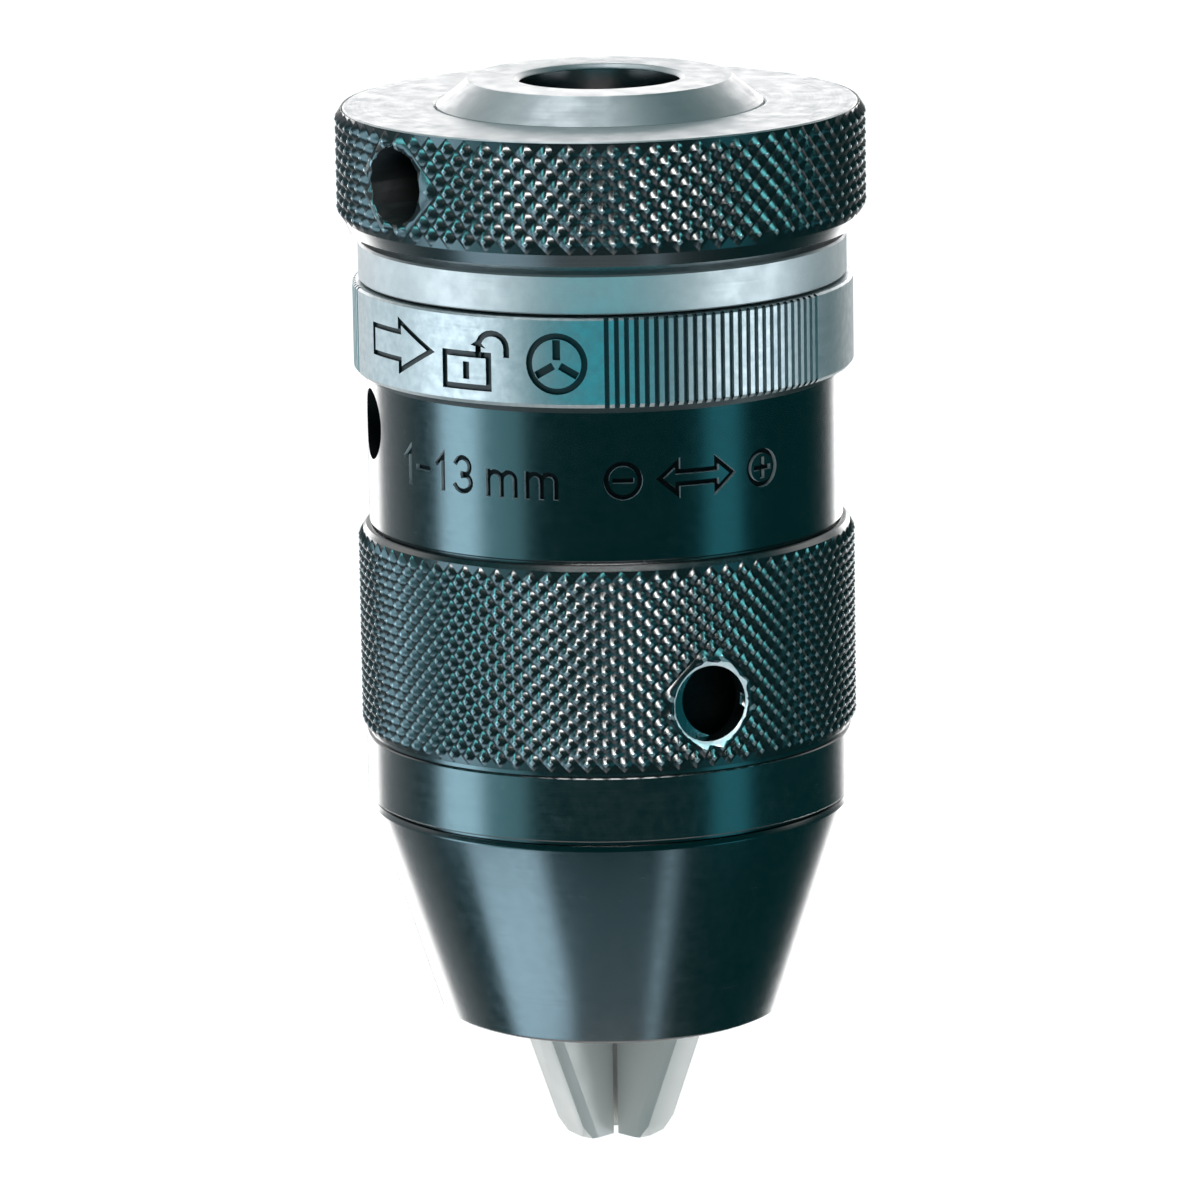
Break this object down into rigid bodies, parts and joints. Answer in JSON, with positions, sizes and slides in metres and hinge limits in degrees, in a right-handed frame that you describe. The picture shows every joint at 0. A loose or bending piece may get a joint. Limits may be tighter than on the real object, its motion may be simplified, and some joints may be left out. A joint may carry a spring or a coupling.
{
  "type": "drill chuck",
  "caption": "Keyless self-tightening drill chuck with a taper seat, knurled holding ring, release ring, knurled sleeve, nose cone and three inclined jaws.",
  "frame": {"origin": "centre of the hub's rear face, at the mouth of the spindle taper", "axes": "+Z along the axis towards the spindle, jaws towards -Z; -Y is the side the marking and the front hook hole face"},
  "size_m": [0.052, 0.052, 0.1066],
  "materials": {
    "chuck_body": "fine turned, satin",
    "holding_ring": "black oxide over a coarse diamond knurl",
    "cover_ring": "bright turned",
    "ratchet_ring": "hardened, ground",
    "lower_race": "ground",
    "bearing_balls": "polished",
    "ball_cage": "stamped",
    "rear_sleeve": "black oxide, fine turned, satin",
    "front_sleeve": "black oxide over a fine diamond knurl",
    "jaw_guide": "black oxide, fine turned, satin",
    "upper_race": "ground",
    "pawl_pin": "ground",
    "pawl_spring": "rolled spring strip",
    "detent_ball": "polished",
    "detent_spring": "drawn wire",
    "stop_pin": "ground",
    "snap_ring": "rolled wire",
    "release_ring": "bright turned, with fine flutes",
    "pawl": "hardened, ground",
    "feed_screw": "turned",
    "jaw": "hardened and ground, satin"
  },
  "bodies": {
    "core": {"chuck_body": "chuck_body", "holding_ring": "holding_ring", "cover_ring": "cover_ring", "ratchet_ring": "ratchet_ring", "lower_race": "lower_race", "bearing_balls": "bearing_balls", "ball_cage": "ball_cage"},
    "sleeve": {"rear_sleeve": "rear_sleeve", "front_sleeve": "front_sleeve", "jaw_guide": "jaw_guide", "upper_race": "upper_race", "pawl_pin": "pawl_pin", "pawl_spring": "pawl_spring", "detent_ball": "detent_ball", "detent_spring": "detent_spring", "stop_pin": "stop_pin", "snap_ring": "snap_ring"},
    "feed_screw": {"feed_screw": "feed_screw"},
    "jaw_1": {"jaw_1": "jaw"},
    "jaw_2": {"jaw_2": "jaw"},
    "jaw_3": {"jaw_3": "jaw"},
    "release_ring": {"release_ring": "release_ring"},
    "pawl": {"pawl": "pawl"}
  },
  "joints": [
    {"name": "sleeve_turn", "type": "hinge", "parent": "core", "child": "sleeve", "pos_m": [0, 0, 0], "axis": [0, 0, -1], "range_deg": [0, 1030]},
    {"name": "screw_rise", "type": "slide", "parent": "sleeve", "child": "feed_screw", "axis": [0, 0, 1], "range_m": [0, 0.01719]},
    {"name": "jaw_1_slide", "type": "slide", "parent": "sleeve", "child": "jaw_1", "axis": [0, 0.342, 0.9397], "range_m": [0, 0.01829]},
    {"name": "jaw_2_slide", "type": "slide", "parent": "sleeve", "child": "jaw_2", "axis": [-0.2962, -0.171, 0.9397], "range_m": [0, 0.01829]},
    {"name": "jaw_3_slide", "type": "slide", "parent": "sleeve", "child": "jaw_3", "axis": [0.2962, -0.171, 0.9397], "range_m": [0, 0.01829]},
    {"name": "release_turn", "type": "hinge", "parent": "sleeve", "child": "release_ring", "pos_m": [0, 0, 0], "axis": [0, 0, 1], "range_deg": [-20, 0]},
    {"name": "pawl_swing", "type": "hinge", "parent": "sleeve", "child": "pawl", "pos_m": [0, 0.02095, -0.0242], "axis": [0, 0, 1], "range_deg": [-12.1, 0]}
  ],
  "couplings": [
    {"joint": "screw_rise", "follows": "sleeve_turn", "m_per_rad": 0.00095493},
    {"joint": "jaw_1_slide", "follows": "sleeve_turn", "m_per_rad": 0.0010162},
    {"joint": "jaw_2_slide", "follows": "sleeve_turn", "m_per_rad": 0.0010162},
    {"joint": "jaw_3_slide", "follows": "sleeve_turn", "m_per_rad": 0.0010162},
    {"joint": "pawl_swing", "follows": "release_turn", "ratio": 0.6}
  ]
}
